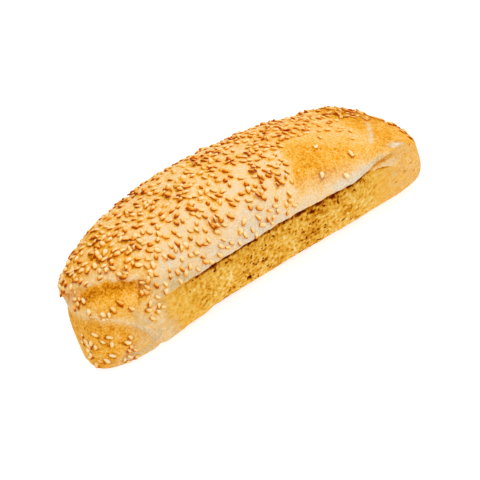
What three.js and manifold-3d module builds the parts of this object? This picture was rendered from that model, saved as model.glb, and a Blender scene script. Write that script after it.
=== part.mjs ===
// A baked hot dog roll, one solid: a domed crust strewn with sesame seeds, a
// torn band along the front where the crumb burst out under the crust's lip,
// and a near end parted into three lobes by two folds.
// Millimetres, +Z up. +X runs along the roll to its far end, -Y is the front.

import * as THREE from 'three';
import { mergeVertices } from 'three/addons/utils/BufferGeometryUtils.js';
import Module from 'manifold-3d';

// Overall size
const LENGTH = 172;
const WIDTH = 55.2;
const HEIGHT = 50.3;

// A run is a pair of values between which a feature sets in. Runs along the
// roll are stations, from -1 at the tip of the near end to 1 at the far end's.

// Course of the lip, the level at which the crust is widest
const LIP_HEIGHT = 25.4;
const LIP_ARCH = 4.1;
const NEAR_END_RISE = 3.1;
const NEAR_RISE_RUN = [-0.62, -0.98];
const FAR_END_RISE = 1.5;
const FAR_RISE_RUN = [0.45, 0.75];
const FAR_LIP_RISE = 3.6;
const FAR_LIP_START = [0.45, 0.64];
const FAR_LIP_END = [0.98, 0.78];
const FAR_TIP_FALL = 4;
const FAR_TIP_RUN = [0.84, 1];

// Torn band under the lip; its drop runs from 0 at the lip to 1 at the underside
const LIP_OVERHANG = 3.3;
const LIP_THICKNESS = 0.07;
const OVERHANG_EASING = 0.6;
const OVERHANG_START = [-0.72, -0.45];
const OVERHANG_END = [0.88, 0.66];
const FOOT_SETBACK = 1.3;
const SETBACK_START = [-0.44, -0.36];
const SETBACK_END = [1, 0.85];
const SETBACK_DROP = [0.3, 0.75];
const FRONT_COSINE = [-0.1, 0.3];

// How full each outline stays towards the near and the far end
const CRUST_PLAN = { near: 3.35, far: 4.1 };
const CROWN_LINE = { near: 3.08, far: 3.6 };
const FOOT_PLAN = { near: 2.7, far: 4.4 };
const UNDERSIDE_LINE = { near: 30, far: 9 };

// Run of the crown, the width and the bend along the length
const CROWN_FALL = 0.17;
const CROWN_HUMP = 0.312;
const NEAR_CROWN_DIP = { depth: 1.5, x: -42, before: 9, after: 10 };
const FAR_CROWN_DIP = { depth: 2.4, x: 58, before: 16, after: 8 };
const WIDENING = 0.06;
const FOOT_WIDTH_SHARE = 0.955;
const FOOT_DROP = [0, 0.9];
const BEND = 5;
const MIDDLE_SHIFT = 0.5;
const NEAR_END_TURN = 1.6;
const NEAR_TURN_RUN = [-0.5, -1];
const FAR_END_LEAN = 4;
const FAR_LEAN_RUN = [0.6, 1];
const FAR_LEAN_HEIGHT = [8, 38];

// Roundness of the cross-section above and below the lip
const DOME_POWER = 2.52;
const FRONT_FOOT_POWER = 4.7;
const BACK_FOOT_POWER = 3.4;
const NEAR_FOOT_POWER = 6.9;
const NEAR_FOOT_RUN = [-0.35, -0.8];
const BASE_FLATTENING = 0.5;

// Gentle swells of the dome: shares of its size, waves along it and lobes round it
const BROAD_SWELL = { share: 0.012, wave: 11, start: 1.3, lobes: 2, lobeStart: -0.4 };
const FINE_SWELL = { share: 0.0084, wave: 6.1, start: -0.7, lobes: 3, lobeStart: 1.1 };
const SWELL_SINE = [0, 0.4];

// Folds round the near end: each has a crest that falls away as it turns to the
// tip and to the side, a sharp edge above and a wide hollow below
const UPPER_FOLD = { depth: 3, crest: 39.4, turn: 0.78, tipFall: 14, sideFall: 8.5, edge: 1.3, hollow: 5 };
const LOWER_FOLD = { depth: 2.2, crest: 29.3, turn: 0.54, tipFall: 20, sideFall: 34, edge: 2, hollow: 6.5 };
const FOLD_CENTRE_X = -56;
const FOLD_X = [-52, -66];

// Slanting crease on the far shoulder
const CREASE = { depth: 0.9, halfWidth: 2.2, x: 56.3, y: -23, slant: 0.75 };
const CREASE_HEIGHT = [32, 36];
const CREASE_Y = [10, -3];

// Mesh of the roll
const RINGS = 50;
const DOME_STEPS = 22;
const BACK_STEPS = 8;
const FRONT_STEPS = 7;

// Sesame seeds
const SEED_COUNT = 150;
const SEED_LENGTH = 3.1;
const SEED_WIDTH = 2.15;
const SEED_THICKNESS = 1.5;
const SEED_LIFT = 0.25;
const SEED_TAPER = 0.28;
const SEED_SIZE_FALL = 0.15;
const SEED_SPACING = 4.4;
const SEED_SIDES = 5;
const SEED_BANDS = 2;

// Seeds are tried at even steps: along the middle part of the roll, across the
// faces of its ends, and round it from under the lip to under the back
const ALONG_STEP = 0.7548776662;
const AROUND_STEP = 0.569840291;
const EVEN_PART = 0.9;
const EVEN_STEPS = 0.82;
const SEED_REACH = 0.985;
const SEED_FIRST_ANGLE = -0.85;
const SEED_LAST_ANGLE = Math.PI + 0.65;

// How thickly seeds lie: by the angle round the roll, the place along it and the height
const SEEDED_FRONT = [0, 0.08];
const SEEDED_BACK = [Math.PI + 0.75, Math.PI - 0.1];
const UNDER_LIP_REACH = 0.5;
const UNDER_LIP_X = [-50, -60];
const FRONT_SHARE = 0.68;
const CROWN_SHARE = 0.32;
const CROWN_ANGLE = [0.5, 1.2];
const NEAR_SHARE = 0.2;
const NEAR_SHARE_X = [-40, -64];
const FAR_THINNING = 0.4;
const FAR_THINNING_X = [25, 55];
const BARE_X = [4, 12];
const BARE_SLANT = 9;
const BARE_ANGLE = [1.45, 1.2];
const BARE_FAR_REACH = 0.3;
const BARE_FAR_X = [54, 60];
const BARE_WOBBLE = { angle: 0.2, alongWave: 1.3, acrossWave: 1.1 };
const FAR_SHARE = 0.7;
const FAR_SHARE_X = [75, 79];
const FAR_SHARE_ANGLE = [0.5, 0.8];
const LOBE_X = [-56, -64];
const LOBE_EDGE = [3, 1];
const ROW = { share: 0.8, height: 33, x: -80, slope: -0.38, below: 2.6, above: 2.2 };
const LOW_SHARE = 0.9;
const LOW_EDGE = [-5, -9];
const LOW_HEIGHT = [1, 4];
const LOW_X = [-64, -72];
const LOBE_FRONT_Y = [-4, -13];
const LOBE_BACK_SHARE = 0.5;
const LOBE_BACK_Y = [8, 16];

// Stray seeds on the bare far shoulder: place along the roll and angle round it
const STRAY_SEEDS = [[33.3, 1.04], [51.6, 1.04], [44.4, 0.71], [26.6, 0.5], [30.2, 0.42], [37, 0.27]];

// Seeds point up and down the front, and every way on the crown
const SEED_TURN = Math.PI / 2 + 0.25;
const FRONT_SPREAD = 0.55 * Math.PI;
const CROWN_SPREAD = 0.45 * Math.PI;

const SMALL_STEP = 1e-4;
const MERGE_DISTANCE = 1e-4;

const CRUST_COLOUR = 0xe2a65c;
const CRUST_ROUGHNESS = 0.85;

/** Smooth step over a run, from 0 at its first value to 1 at its second. */
function smooth([from, to], value) {
  const u = Math.min(Math.max((value - from) / (to - from), 0), 1);
  return u * u * (3 - 2 * u);
}

/** Bell of height 1 with a half width of its own on each side. */
function bell(offset, widthBelow, widthAbove) {
  const u = offset / (offset > 0 ? widthAbove : widthBelow);
  return Math.exp(-u * u);
}

/** Share of the full size that is left at station f. */
function shareLeft(f, fullness) {
  const n = f < 0 ? fullness.near : fullness.far;
  return Math.max(1 - Math.abs(f) ** n, 0) ** (1 / n);
}

/** Height of the lip above the untrimmed underside at station f. */
function lipHeight(f) {
  const nearRise = NEAR_END_RISE * smooth(NEAR_RISE_RUN, f);
  const farRise = FAR_END_RISE * smooth(FAR_RISE_RUN, f);
  const farLip = FAR_LIP_RISE * smooth(FAR_LIP_START, f) * smooth(FAR_LIP_END, f);
  const farTip = FAR_TIP_FALL * smooth(FAR_TIP_RUN, f);
  return LIP_HEIGHT + LIP_ARCH * (1 - f * f) + nearRise + farRise + farLip - farTip;
}

/** Height of the crown line above the untrimmed underside at station f. */
function crownHeight(f) {
  const run = 1 - CROWN_FALL * f + CROWN_HUMP * (1 - f * f);
  const dip = ({ depth, x, before, after }) => depth * bell(f * LENGTH / 2 - x, before, after);
  const dips = dip(NEAR_CROWN_DIP) + dip(FAR_CROWN_DIP);
  return (HEIGHT + BASE_FLATTENING) * run / (1 + CROWN_HUMP) - dips;
}

/** Half width of the section at station f and drop below the lip; front is 1 on the front. */
function halfWidth(f, drop, front) {
  const widening = 1 + WIDENING * f;
  const crust = WIDTH / 2 * shareLeft(f, CRUST_PLAN) * widening;
  const foot = WIDTH / 2 * shareLeft(f, FOOT_PLAN) * widening * FOOT_WIDTH_SHARE;
  const overhang = LIP_OVERHANG * smooth(OVERHANG_START, f) * smooth(OVERHANG_END, f);
  const underLip = overhang * smooth([0, LIP_THICKNESS], drop) * (1 - OVERHANG_EASING * drop);
  const setback = FOOT_SETBACK * smooth(SETBACK_START, f) * smooth(SETBACK_END, f);
  const recess = underLip + setback * smooth(SETBACK_DROP, drop);
  return crust + (foot - crust) * smooth(FOOT_DROP, drop) - front * recess;
}

/** Factor on the section's size from the dome's swells at place x and angle t. */
function swellFactor(x, t) {
  const wave = (swell) => {
    const along = Math.sin(x / swell.wave + swell.start);
    return swell.share * along * Math.cos(swell.lobes * t + swell.lobeStart);
  };
  return 1 + (wave(BROAD_SWELL) + wave(FINE_SWELL)) * smooth(SWELL_SINE, Math.sin(t));
}

/** Height of a fold's edge, alike on the front and the back. */
function foldLevel(fold, x, y) {
  const turn = Math.atan2(Math.abs(y), FOLD_CENTRE_X - x) - fold.turn;
  return fold.crest - (turn < 0 ? fold.tipFall : fold.sideFall) * turn ** 2;
}

/** Inward depth of the two folds at a point of the near end. */
function foldDepth(x, y, z) {
  const depth = (fold) => fold.depth * bell(z - foldLevel(fold, x, y), fold.hollow, fold.edge);
  return (depth(UPPER_FOLD) + depth(LOWER_FOLD)) * smooth(FOLD_X, x);
}

/** Depth of the slanting crease on the far shoulder. */
function creaseDepth(x, y, z) {
  const across = x - CREASE.x - CREASE.slant * (y - CREASE.y);
  const reach = smooth(CREASE_HEIGHT, z) * smooth(CREASE_Y, y);
  return CREASE.depth * reach * bell(across, CREASE.halfWidth, CREASE.halfWidth);
}

/**
 * Point of the bare roll at station f and section angle t. The angle starts at
 * the lip on the front and runs over the crown, down the back and under.
 */
function rollPoint(f, t) {
  const sine = Math.sin(t);
  const cosine = Math.cos(t);
  const sidePower = cosine < 0 ? BACK_FOOT_POWER : FRONT_FOOT_POWER;
  const footPower = sidePower + (NEAR_FOOT_POWER - sidePower) * smooth(NEAR_FOOT_RUN, f);
  const power = sine < 0 ? footPower : DOME_POWER;
  const reach = (Math.abs(cosine) ** power + Math.abs(sine) ** power) ** (-1 / power);
  const forward = cosine * reach;
  const rise = sine * reach;

  const along = f * LENGTH / 2;
  const swell = swellFactor(along, t);
  const lip = lipHeight(f);
  const crown = (crownHeight(f) - lip) * shareLeft(f, CROWN_LINE) * swell;
  const under = lip * shareLeft(f, UNDERSIDE_LINE);
  const wide = halfWidth(f, Math.max(-rise, 0), smooth(FRONT_COSINE, cosine)) * swell;
  const middle = MIDDLE_SHIFT - BEND * f * f - NEAR_END_TURN * smooth(NEAR_TURN_RUN, f);
  const y = middle - forward * wide;
  const z = lip + rise * (sine < 0 ? under : crown);
  const x = along - FAR_END_LEAN * smooth(FAR_LEAN_RUN, f) * smooth(FAR_LEAN_HEIGHT, z);

  // The folds press in towards an upright line through the near end.
  const inward = new THREE.Vector2(FOLD_CENTRE_X - x, -y).normalize().multiplyScalar(foldDepth(x, y, z));
  const settled = z - creaseDepth(x, y, z) - BASE_FLATTENING;
  return new THREE.Vector3(x + inward.x, y + inward.y, Math.max(settled, 0));
}

/** Section angles, even over the dome and the back and down the front from just under the lip. */
function sectionAngles() {
  const evenly = (from, to, steps) => (
    Array.from({ length: steps }, (_, k) => from + (to - from) * k / steps)
  );
  const underside = 1.5 * Math.PI;
  const underLip = 2 * Math.PI - LIP_THICKNESS;
  return [
    ...evenly(0, Math.PI, DOME_STEPS),
    ...evenly(Math.PI, underside, BACK_STEPS),
    ...evenly(underside, underLip, FRONT_STEPS),
    underLip,
  ];
}

/** Closed mesh of the bare roll: rings of sections between two end points. */
function rollGeometry() {
  const angles = sectionAngles();
  const around = angles.length;
  const stations = Array.from({ length: RINGS }, (_, k) => -Math.cos(Math.PI * (k + 1) / (RINGS + 1)));
  const points = stations.flatMap((f) => angles.map((t) => rollPoint(f, t)));
  const nearTip = points.push(rollPoint(-1, 0)) - 1;
  const farTip = points.push(rollPoint(1, 0)) - 1;

  const triangles = [];
  const last = (RINGS - 1) * around;
  for (let j = 0; j < around; j++) {
    const next = (j + 1) % around;
    triangles.push(nearTip, j, next);
    for (let here = 0; here < last; here += around) {
      const beyond = here + around;
      triangles.push(here + j, beyond + j, beyond + next);
      triangles.push(here + j, beyond + next, here + next);
    }
    triangles.push(last + j, farTip, last + next);
  }
  const geometry = new THREE.BufferGeometry().setFromPoints(points);
  geometry.setIndex(triangles);
  return geometry;
}

/** Repeatable draw from 0 to 1 for a whole number and a stream. */
function draw(number, stream) {
  const wave = Math.sin(number * 12.9898 + stream * 78.233) * 43758.5453;
  return wave - Math.floor(wave);
}

/** Station for a step from -1 to 1: even along the middle part, then even across an end's face. */
function stationAt(step) {
  if (Math.abs(step) < EVEN_STEPS) {
    return step * EVEN_PART / EVEN_STEPS;
  }
  const n = step < 0 ? CRUST_PLAN.near : CRUST_PLAN.far;
  const across = (1 - EVEN_PART ** n) ** (1 / n) * (1 - Math.abs(step)) / (1 - EVEN_STEPS);
  return Math.sign(step) * (1 - across ** n) ** (1 / n);
}

/** How thickly seeds lie on the roll at a point with section angle t, from 0 to 1. */
function seedDensity({ x, y, z }, t) {
  const underLip = UNDER_LIP_REACH * smooth(UNDER_LIP_X, x);
  const over = smooth(SEEDED_FRONT, t + underLip) * smooth(SEEDED_BACK, t);
  const near = NEAR_SHARE * smooth(NEAR_SHARE_X, x);
  const share = Math.min(FRONT_SHARE + CROWN_SHARE * smooth(CROWN_ANGLE, t) + near, 1);
  const thick = share * (1 - FAR_THINNING * smooth(FAR_THINNING_X, x));
  const far = FAR_SHARE * smooth(FAR_SHARE_X, x) * smooth(FAR_SHARE_ANGLE, t);
  const wobble = Math.sin(x / BARE_WOBBLE.alongWave) * Math.cos(y / BARE_WOBBLE.acrossWave);
  const bareEdge = t - BARE_FAR_REACH * smooth(BARE_FAR_X, x) + BARE_WOBBLE.angle * wobble;
  const bare = smooth(BARE_X, x - BARE_SLANT * t) * smooth(BARE_ANGLE, bareEdge) * (1 - far);
  const lobes = smooth(LOBE_X, x) * smooth(LOBE_EDGE, z - foldLevel(UPPER_FOLD, x, y));
  const row = ROW.share * bell(z - ROW.height - ROW.slope * (x - ROW.x), ROW.below, ROW.above);
  const low = LOW_SHARE * smooth(LOW_EDGE, z - foldLevel(LOWER_FOLD, x, y));
  const onLobes = row + low * smooth(LOW_HEIGHT, z) * smooth(LOW_X, x);
  const sides = smooth(LOBE_FRONT_Y, y) + LOBE_BACK_SHARE * smooth(LOBE_BACK_Y, y);
  return over * thick * (1 - bare) * (1 - lobes) + onLobes * sides * lobes;
}

/** Seed places: the strays, then as many as are wanted by density and spacing. */
function seedPlaces() {
  const placeOf = (n, f, t) => ({ n, f, t, point: rollPoint(f, t) });
  const places = STRAY_SEEDS.map(([x, t], k) => placeOf(-k, x / (LENGTH / 2), t));
  for (let n = 1; places.length < SEED_COUNT; n++) {
    const f = stationAt(SEED_REACH * (2 * ((n * ALONG_STEP) % 1) - 1));
    const t = SEED_FIRST_ANGLE + (SEED_LAST_ANGLE - SEED_FIRST_ANGLE) * ((n * AROUND_STEP) % 1);
    const place = placeOf(n, f, t);
    const sparse = draw(n, 1) > seedDensity(place.point, t);
    const crowded = places.some((other) => other.point.distanceTo(place.point) < SEED_SPACING);
    if (!sparse && !crowded) {
      places.push(place);
    }
  }
  return places;
}

/** One seed: a flattened drop that lies on the faceted crust, sunk into it. */
function seedGeometry({ n, f, t, point }, size, bareRoll) {
  const along = rollPoint(f + SMALL_STEP, t).sub(rollPoint(f - SMALL_STEP, t)).normalize();
  const around = rollPoint(f, t + SMALL_STEP).sub(rollPoint(f, t - SMALL_STEP)).normalize();
  const normal = new THREE.Vector3().crossVectors(along, around).normalize();
  const above = point.clone().addScaledVector(normal, SEED_LENGTH);
  const facet = new THREE.Raycaster(above, normal.clone().negate()).intersectObject(bareRoll)[0];
  const spread = FRONT_SPREAD + CROWN_SPREAD * smooth(CROWN_ANGLE, t);
  const heading = along.applyAxisAngle(normal, SEED_TURN + spread * (draw(n, 2) - 0.5));
  const side = new THREE.Vector3().crossVectors(normal, heading);

  const geometry = new THREE.SphereGeometry(0.5, SEED_SIDES, SEED_BANDS + 1);
  geometry.rotateZ(Math.PI / 2);
  const position = geometry.getAttribute('position');
  for (let k = 0; k < position.count; k++) {
    const narrowing = 1 - SEED_TAPER * (0.5 + position.getX(k));
    position.setXYZ(
      k,
      position.getX(k) * SEED_LENGTH * size,
      position.getY(k) * SEED_WIDTH * size * narrowing,
      position.getZ(k) * SEED_THICKNESS * size,
    );
  }
  const centre = facet.point.addScaledVector(normal, SEED_LIFT);
  geometry.applyMatrix4(new THREE.Matrix4().makeBasis(heading, side, normal).setPosition(centre));
  return geometry;
}

const wasm = await Module();
wasm.setup();

/** Solid of a closed mesh. */
function solidOf(geometry) {
  geometry.deleteAttribute('normal');
  geometry.deleteAttribute('uv');
  const merged = mergeVertices(geometry, MERGE_DISTANCE);
  const vertProperties = new Float32Array(merged.getAttribute('position').array);
  const triVerts = new Uint32Array(merged.getIndex().array);
  return new wasm.Manifold(new wasm.Mesh({ numProp: 3, vertProperties, triVerts }));
}

/** Mesh geometry of a solid. */
function geometryOf(solid) {
  const mesh = solid.getMesh();
  const geometry = new THREE.BufferGeometry();
  geometry.setAttribute('position', new THREE.BufferAttribute(new Float32Array(mesh.vertProperties), 3));
  geometry.setIndex(new THREE.BufferAttribute(new Uint32Array(mesh.triVerts), 1));
  geometry.computeVertexNormals();
  return geometry;
}

/** The roll with its seeds baked on, the largest first. */
function bunGeometry() {
  const bareRoll = new THREE.Mesh(rollGeometry());
  let bun = solidOf(rollGeometry());
  seedPlaces().forEach((place, rank) => {
    const size = 1 - SEED_SIZE_FALL * rank / SEED_COUNT;
    bun = bun.add(solidOf(seedGeometry(place, size, bareRoll)));
  });
  return geometryOf(bun);
}

const crust = new THREE.MeshStandardMaterial({
  color: CRUST_COLOUR,
  roughness: CRUST_ROUGHNESS,
  metalness: 0,
});
const bun = new THREE.Mesh(bunGeometry(), crust);
bun.name = 'bun';

const roll = new THREE.Group();
roll.add(bun);

export default roll;
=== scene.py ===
import itertools
import math

import bpy
import numpy as np
from mathutils import Matrix, Vector


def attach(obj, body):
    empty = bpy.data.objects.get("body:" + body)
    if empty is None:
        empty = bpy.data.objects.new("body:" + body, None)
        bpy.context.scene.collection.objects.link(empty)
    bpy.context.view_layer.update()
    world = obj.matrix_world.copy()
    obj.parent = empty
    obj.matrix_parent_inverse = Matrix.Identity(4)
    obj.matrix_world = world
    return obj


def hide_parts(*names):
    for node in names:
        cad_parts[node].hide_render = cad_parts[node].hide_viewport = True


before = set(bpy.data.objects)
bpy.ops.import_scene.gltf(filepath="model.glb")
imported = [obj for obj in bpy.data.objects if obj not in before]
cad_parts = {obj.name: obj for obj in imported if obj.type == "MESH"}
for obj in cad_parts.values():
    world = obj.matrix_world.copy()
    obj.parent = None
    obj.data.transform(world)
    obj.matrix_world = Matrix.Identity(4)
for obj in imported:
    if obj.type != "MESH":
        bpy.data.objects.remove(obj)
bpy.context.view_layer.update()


# Loaf, its form
# One length of wheat dough, proved and baked on a flat sheet. The crust rose into
# a dome whose edge, the lip, hangs over the front, and two folds part the near end.

# A run is a pair of values between which a feature sets in. Sizes are in millimetres, angles
# in radians, and stations run along the loaf from -1 at the near tip to 1 at the far one.
LENGTH = 172.0
WIDTH = 55.2
HEIGHT = 50.3

# Height of the lip along the loaf
LIP_HEIGHT = 25.4
LIP_ARCH = 4.1
NEAR_END_RISE = 3.1
NEAR_RISE_RUN = (-0.62, -0.98)
FAR_END_RISE = 1.5
FAR_RISE_RUN = (0.45, 0.75)
FAR_LIP_RISE = 3.6
FAR_LIP_START = (0.45, 0.64)
FAR_LIP_END = (0.98, 0.78)
FAR_TIP_FALL = 4.0
FAR_TIP_RUN = (0.84, 1.0)
LIP_WANDER = 0.1
LIP_WAVES = ((4.7, 1.0), (2.3, 2.2), (1.37, 0.4), (0.83, 1.7))
LIP_WANDER_REACH = (0.9, 0.7)

# Recess in front, under the lip and at the foot
LIP_OVERHANG = 3.3
LIP_THICKNESS = 0.07
OVERHANG_EASING = 0.6
OVERHANG_START = (-0.72, -0.45)
OVERHANG_END = (0.88, 0.66)
FOOT_SETBACK = 1.3
SETBACK_START = (-0.44, -0.36)
SETBACK_END = (1.0, 0.85)
SETBACK_DROP = (0.3, 0.75)
FRONT_COSINE = (-0.1, 0.3)

# Outlines in plan and from the side, each with a fullness at the near and at the far end
CRUST_PLAN = (3.35, 4.1)
CROWN_LINE = (3.08, 3.6)
FOOT_PLAN = (2.7, 4.4)
UNDERSIDE_LINE = (30.0, 9.0)
CROWN_FALL = 0.17
CROWN_HUMP = 0.312
NEAR_CROWN_DIP = {"depth": 1.5, "x": -42.0, "before": 9.0, "after": 10.0}
FAR_CROWN_DIP = {"depth": 2.4, "x": 58.0, "before": 16.0, "after": 8.0}
WIDENING = 0.06
FOOT_WIDTH_SHARE = 0.955
FOOT_DROP = (0.0, 0.9)
BEND = 5.0
MIDDLE_SHIFT = 0.5
NEAR_END_TURN = 1.6
NEAR_TURN_RUN = (-0.5, -1.0)
FAR_END_LEAN = 4.0
FAR_LEAN_RUN = (0.6, 1.0)
FAR_LEAN_HEIGHT = (8.0, 38.0)

# Section: how square the dome and the foot are, and how the dough swelled
DOME_POWER = 2.52
FRONT_FOOT_POWER = 4.7
BACK_FOOT_POWER = 3.4
NEAR_FOOT_POWER = 6.9
NEAR_FOOT_RUN = (-0.35, -0.8)
BASE_FLATTENING = 0.5
BROAD_SWELL = {"share": 0.012, "wave": 11.0, "start": 1.3, "lobes": 2, "lobe_start": -0.4}
FINE_SWELL = {"share": 0.0084, "wave": 6.1, "start": -0.7, "lobes": 3, "lobe_start": 1.1}
SWELL_SINE = (0.0, 0.4)

# Folds round the near end, and the crease on the far shoulder
UPPER_FOLD = {"depth": 3.0, "crest": 39.4, "turn": 0.78, "falls": (14.0, 8.5), "edge": 1.3, "hollow": 5.0}
LOWER_FOLD = {"depth": 2.2, "crest": 29.3, "turn": 0.54, "falls": (20.0, 34.0), "edge": 2.0, "hollow": 6.5}
FOLD_WOBBLE = 0.3
FOLD_WAVES = ((11, 1.0, 1.0), (27, 0.0, 0.7))
FOLD_CENTRE_X = -56.0
FOLD_X = (-52.0, -66.0)
CREASE = {"depth": 0.9, "half_width": 2.2, "x": 56.3, "y": -23.0, "slant": 0.75}
CREASE_HEIGHT = (32.0, 36.0)
CREASE_Y = (10.0, -3.0)
SHORTEST = 1e-12


def smooth(run, value):
    """Step over a run, from 0 at its first value to 1 at its second: 3u² - 2u³ of the share u between."""
    u = np.clip((value - run[0]) / (run[1] - run[0]), 0, 1)
    return u * u * (3 - 2 * u)


def bell(offset, below, above):
    """exp(-u²), with u the offset over a half width of its own on each side."""
    return np.exp(-(offset / np.where(offset > 0, above, below)) ** 2)


def unit(vectors):
    """Vectors divided by their lengths."""
    return vectors / np.maximum(np.linalg.norm(vectors, axis=-1, keepdims=True), SHORTEST)


def share_left(f, fullness):
    """Superellipse (1 - |f|^n)^(1/n): the share of the full size left at station f, n by end."""
    n = np.where(f < 0, fullness[0], fullness[1])
    return np.maximum(1 - np.abs(f) ** n, 0) ** (1 / n)


def lip_height(f):
    """Height of the lip over the underside: a parabola along the loaf, rises at the ends and small waves."""
    end_rises = NEAR_END_RISE * smooth(NEAR_RISE_RUN, f) + FAR_END_RISE * smooth(FAR_RISE_RUN, f)
    far_tip = FAR_TIP_FALL * smooth(FAR_TIP_RUN, f)
    far_lip = FAR_LIP_RISE * smooth(FAR_LIP_START, f) * smooth(FAR_LIP_END, f)
    waves = sum(np.sin(f * LENGTH / 2 / wave + start) for wave, start in LIP_WAVES)
    wander = LIP_WANDER * waves * smooth(LIP_WANDER_REACH, np.abs(f))
    return LIP_HEIGHT + LIP_ARCH * (1 - f * f) + end_rises - far_tip + far_lip + wander


def half_width(f, drop, front):
    """Half width of the section: crust and foot outlines blended down the drop, less the recess in front."""
    widening = 1 + WIDENING * f
    crust = WIDTH / 2 * share_left(f, CRUST_PLAN) * widening
    foot = WIDTH / 2 * share_left(f, FOOT_PLAN) * widening * FOOT_WIDTH_SHARE
    overhang = LIP_OVERHANG * smooth(OVERHANG_START, f) * smooth(OVERHANG_END, f)
    under_lip = overhang * smooth((0, LIP_THICKNESS), drop) * (1 - OVERHANG_EASING * drop)
    setback = FOOT_SETBACK * smooth(SETBACK_START, f) * smooth(SETBACK_END, f) * smooth(SETBACK_DROP, drop)
    return crust + (foot - crust) * smooth(FOOT_DROP, drop) - front * (under_lip + setback)


def swell_factor(along, t):
    """Factor on the section's size: two products of a wave along the dome and a wave round it."""
    waves = sum(
        swell["share"] * np.sin(along / swell["wave"] + swell["start"])
        * np.cos(swell["lobes"] * t + swell["lobe_start"])
        for swell in (BROAD_SWELL, FINE_SWELL)
    )
    return 1 + waves * smooth(SWELL_SINE, np.sin(t))


def fold_level(fold, x, y):
    """Height of a fold's edge: two half parabolas of the turn round the near end, with small waves."""
    turn = np.arctan2(np.abs(y), FOLD_CENTRE_X - x) - fold["turn"]
    wobble = FOLD_WOBBLE * sum(share * np.sin(waves * turn + start) for waves, start, share in FOLD_WAVES)
    return fold["crest"] - np.where(turn < 0, fold["falls"][0], fold["falls"][1]) * turn ** 2 + wobble


def fold_depth(x, y, z):
    """Inward depth of the folds: a bell about each fold's level, sharp above and wide below."""
    depth = sum(
        fold["depth"] * bell(z - fold_level(fold, x, y), fold["hollow"], fold["edge"])
        for fold in (UPPER_FOLD, LOWER_FOLD)
    )
    return depth * smooth(FOLD_X, x)


def crease_share(x, y, z):
    """Share of the crease's full depth: a bell across a slanting line on the far shoulder."""
    across = x - CREASE["x"] - CREASE["slant"] * (y - CREASE["y"])
    reach = smooth(CREASE_HEIGHT, z) * smooth(CREASE_Y, y)
    return reach * bell(across, CREASE["half_width"], CREASE["half_width"])


def loaf_surface(f, t):
    """Points of the loaf in millimetres at station f and section angle t.

    The section is a superellipse about the lip: angle 0 is the lip on the front, a quarter
    turn the crown, a half turn the back and three quarters the underside. The ends are drawn
    in by the outlines, the plan bends by the square of f, and folds and crease are pressed in.
    """
    sine = np.sin(t)
    cosine = np.cos(t)
    side_power = np.where(cosine < 0, BACK_FOOT_POWER, FRONT_FOOT_POWER)
    foot_power = side_power + (NEAR_FOOT_POWER - side_power) * smooth(NEAR_FOOT_RUN, f)
    power = np.where(sine < 0, foot_power, DOME_POWER)
    reach = (np.abs(cosine) ** power + np.abs(sine) ** power) ** (-1 / power)
    forward = cosine * reach
    rise = sine * reach

    along = f * LENGTH / 2
    swell = swell_factor(along, t)
    lip = lip_height(f)
    crown_run = (1 - CROWN_FALL * f + CROWN_HUMP * (1 - f * f)) / (1 + CROWN_HUMP)
    dip = sum(
        low["depth"] * bell(along - low["x"], low["before"], low["after"])
        for low in (NEAR_CROWN_DIP, FAR_CROWN_DIP)
    )
    crown = ((HEIGHT + BASE_FLATTENING) * crown_run - dip - lip) * share_left(f, CROWN_LINE) * swell
    under = lip * share_left(f, UNDERSIDE_LINE)
    wide = half_width(f, np.maximum(-rise, 0), smooth(FRONT_COSINE, cosine)) * swell
    middle = MIDDLE_SHIFT - BEND * f * f - NEAR_END_TURN * smooth(NEAR_TURN_RUN, f)
    y = middle - forward * wide
    z = lip + rise * np.where(sine < 0, under, crown)
    x = along - FAR_END_LEAN * smooth(FAR_LEAN_RUN, f) * smooth(FAR_LEAN_HEIGHT, z)

    inward = unit(np.stack([FOLD_CENTRE_X - x, -y], axis=-1)) * fold_depth(x, y, z)[..., None]
    settled = z - CREASE["depth"] * crease_share(x, y, z) - BASE_FLATTENING
    return np.stack([x + inward[..., 0], y + inward[..., 1], np.maximum(settled, 0)], axis=-1)


# Loaf, its grid
# The crust is one closed skin, drawn together at both ends. It is laid out as rings along
# the loaf, narrow at the ends, with the closest points on the torn band in front.

EVEN_PART = 0.9
EVEN_STEPS = 0.82
RINGS = 446
LAST_RING = 0.995
# Stretches of the ring, from and to in half turns, with the number of points in each
ANGLE_STEPS = ((0.0, 1.0, 106), (1.0, 1.25, 22), (1.25, 1.5, 11), (1.5, 1.75, 11), (1.75, 2.0, 70))
# Keys that scatter the repeatable draws
NUMBER_KEY = 12.9898
STREAM_KEY = 78.233
SINE_SCALE = 43758.5453
CORNER_KEYS = np.array([127.1, 311.7, 74.7])
CLOUD_LAYERS = 3
PORE_RADIUS = (0.16, 0.38)
PORE_DRAWS = 5
UNDERSIDE_ANGLE = 1.5 * math.pi


def station_at(step):
    """Station for a step from -1 to 1: even steps along the middle, then even ones across each end's face."""
    n = np.where(step < 0, CRUST_PLAN[0], CRUST_PLAN[1])
    widest = (1 - EVEN_PART ** n) ** (1 / n)
    across = widest * np.minimum((1 - np.abs(step)) / (1 - EVEN_STEPS), 1)
    past_middle = np.sign(step) * (1 - across ** n) ** (1 / n)
    return np.where(np.abs(step) < EVEN_STEPS, step * EVEN_PART / EVEN_STEPS, past_middle)


def outward(skin):
    """Unit normals of a grid closed along its second way: the cross of its two differences."""
    along = np.gradient(skin, axis=0)
    around = np.roll(skin, -1, axis=1) - np.roll(skin, 1, axis=1)
    return unit(np.cross(along, around))


def draw(number, stream):
    """Repeatable draw from 0 to 1: the fraction left of a large multiple of a sine."""
    wave = np.sin(number * NUMBER_KEY + stream * STREAM_KEY) * SINE_SCALE
    return wave - np.floor(wave)


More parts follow.
